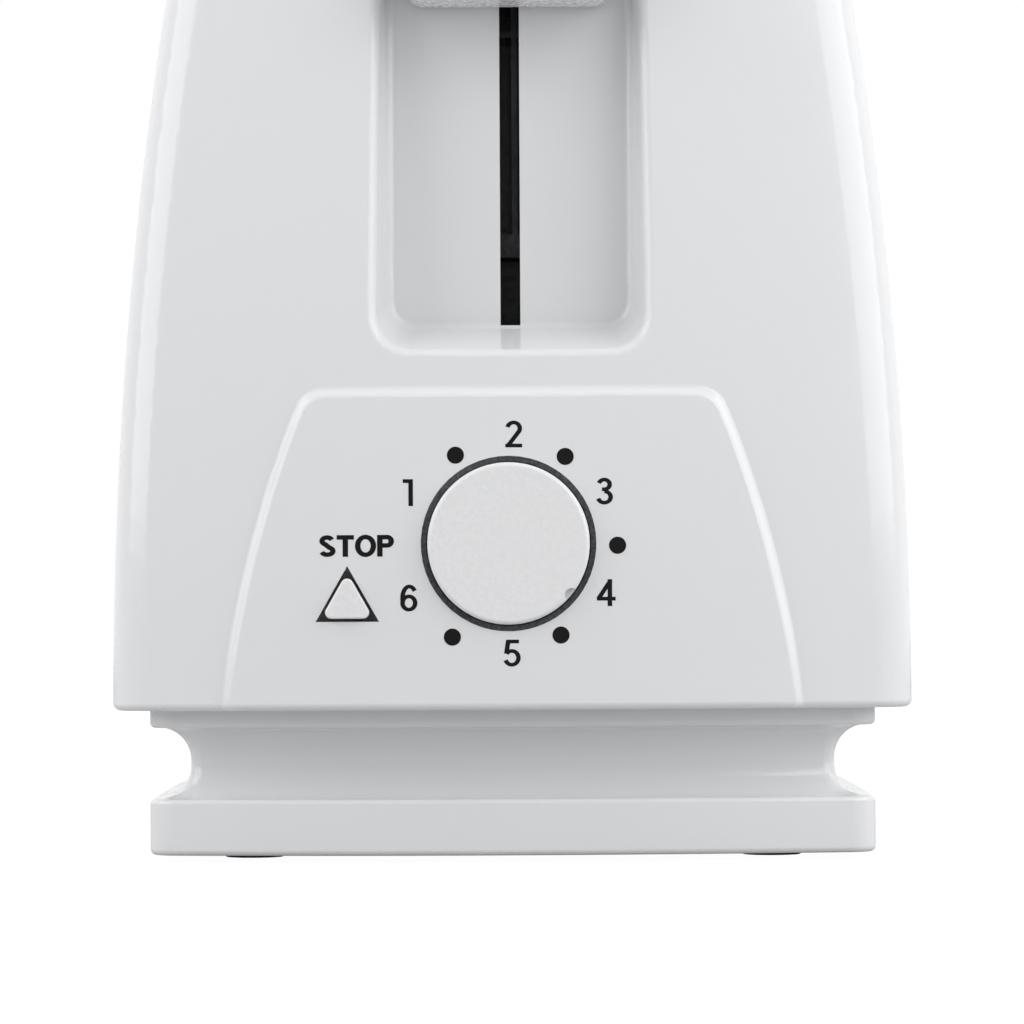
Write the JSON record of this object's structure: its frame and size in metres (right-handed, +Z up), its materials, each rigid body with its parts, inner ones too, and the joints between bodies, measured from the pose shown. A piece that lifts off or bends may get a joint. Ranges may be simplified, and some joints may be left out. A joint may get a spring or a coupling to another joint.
{
  "type": "pop-up toaster",
  "caption": "Two-slice pop-up toaster with a tapering white body, a lever in a recess, a browning dial, a stop button and a cord groove round the base.",
  "frame": {"origin": "middle of the bounding box's underside, on the table under the feet", "axes": "+X across the body, to the right as seen from the lever end; +Y from the lever end to the cord end; +Z up"},
  "size_m": [0.1592, 0.268, 0.202],
  "materials": {
    "white_body": "glossy",
    "white_control": "satin",
    "black_rubber": "matte",
    "grey_bushing": "matte",
    "grey_felt": "matte",
    "plated_sheet": "satin",
    "bright_wire": "bright",
    "screw_steel": "satin",
    "mica": "matte",
    "heater_alloy": "dull",
    "spring_steel": "bright",
    "soft_iron": "satin",
    "copper_winding": "enamelled",
    "board_green": "satin",
    "black_plastic": "matte"
  },
  "bodies": {
    "housing": {"outer_shell": "white_body", "base_housing": "white_body", "bottom_cover": "white_body", "rubber_feet": "black_rubber", "base_screws": "screw_steel", "cord_bushing": "grey_bushing", "chassis_front_plate": "plated_sheet", "chassis_rear_plate": "plated_sheet", "chassis_top_plate": "plated_sheet", "chassis_screws": "screw_steel", "side_reflector_left": "plated_sheet", "side_reflector_right": "plated_sheet", "heater_card_left": "mica", "heater_card_centre": "mica", "heater_card_right": "mica", "heater_ribbon_left": "heater_alloy", "heater_ribbon_centre": "heater_alloy", "heater_ribbon_right": "heater_alloy", "guide_rod": "bright_wire", "lift_spring": "spring_steel", "magnet_core": "soft_iron", "magnet_coil": "copper_winding", "mains_switch": "black_plastic", "terminal_block": "black_plastic", "control_board": "board_green", "board_components": "black_plastic", "board_screws": "screw_steel", "potentiometer_body": "black_plastic", "stop_switch": "black_plastic", "dial_seal": "grey_felt"},
    "carriage": {"carriage_bracket": "plated_sheet", "bread_rack_left": "plated_sheet", "bread_rack_right": "plated_sheet", "latch_keeper": "soft_iron", "lever_knob": "white_control"},
    "dial": {"browning_dial": "white_control", "dial_spindle": "white_control"},
    "button": {"stop_button": "white_control", "switch_plunger": "black_plastic"},
    "tray": {"crumb_tray": "plated_sheet", "crumb_tray_grip": "white_body"},
    "guide_left_outer": {"bread_guide_left_outer": "bright_wire"},
    "guide_left_inner": {"bread_guide_left_inner": "bright_wire"},
    "guide_right_outer": {"bread_guide_right_outer": "bright_wire"},
    "guide_right_inner": {"bread_guide_right_inner": "bright_wire"}
  },
  "joints": [
    {"name": "carriage_slide", "type": "slide", "parent": "housing", "child": "carriage", "axis": [0, 0, 1], "range_m": [-0.058, 0], "stiffness_N_per_m": 100, "springref_m": 0.03, "deforming": ["lift_spring"]},
    {"name": "dial_turn", "type": "hinge", "parent": "housing", "child": "dial", "pos_m": [-0.0006, -0.132, 0.0622], "axis": [0, 1, 0], "range_deg": [-189.5, 110.5]},
    {"name": "stop_button_press", "type": "slide", "parent": "housing", "child": "button", "axis": [0, 1, 0], "range_m": [0, 0.0025], "stiffness_N_per_m": 300, "springref_m": -0.002},
    {"name": "crumb_tray_slide", "type": "slide", "parent": "housing", "child": "tray", "axis": [0, 1, 0], "range_m": [0, 0.195]},
    {"name": "guide_left_outer_tilt", "type": "hinge", "parent": "housing", "child": "guide_left_outer", "pos_m": [-0.037, 0.012, 0.046], "axis": [0, 1, 0], "range_deg": [0, 3]},
    {"name": "guide_left_inner_tilt", "type": "hinge", "parent": "housing", "child": "guide_left_inner", "pos_m": [-0.011, 0.012, 0.046], "axis": [0, 1, 0], "range_deg": [-3, 0]},
    {"name": "guide_right_outer_tilt", "type": "hinge", "parent": "housing", "child": "guide_right_outer", "pos_m": [0.037, 0.012, 0.046], "axis": [0, 1, 0], "range_deg": [-3, 0]},
    {"name": "guide_right_inner_tilt", "type": "hinge", "parent": "housing", "child": "guide_right_inner", "pos_m": [0.011, 0.012, 0.046], "axis": [0, 1, 0], "range_deg": [0, 3]}
  ],
  "couplings": [
    {"joint": "guide_left_outer_tilt", "follows": "carriage_slide", "rad_per_m": -0.9025},
    {"joint": "guide_left_inner_tilt", "follows": "carriage_slide", "rad_per_m": 0.9025},
    {"joint": "guide_right_outer_tilt", "follows": "carriage_slide", "rad_per_m": 0.9025},
    {"joint": "guide_right_inner_tilt", "follows": "carriage_slide", "rad_per_m": -0.9025}
  ]
}
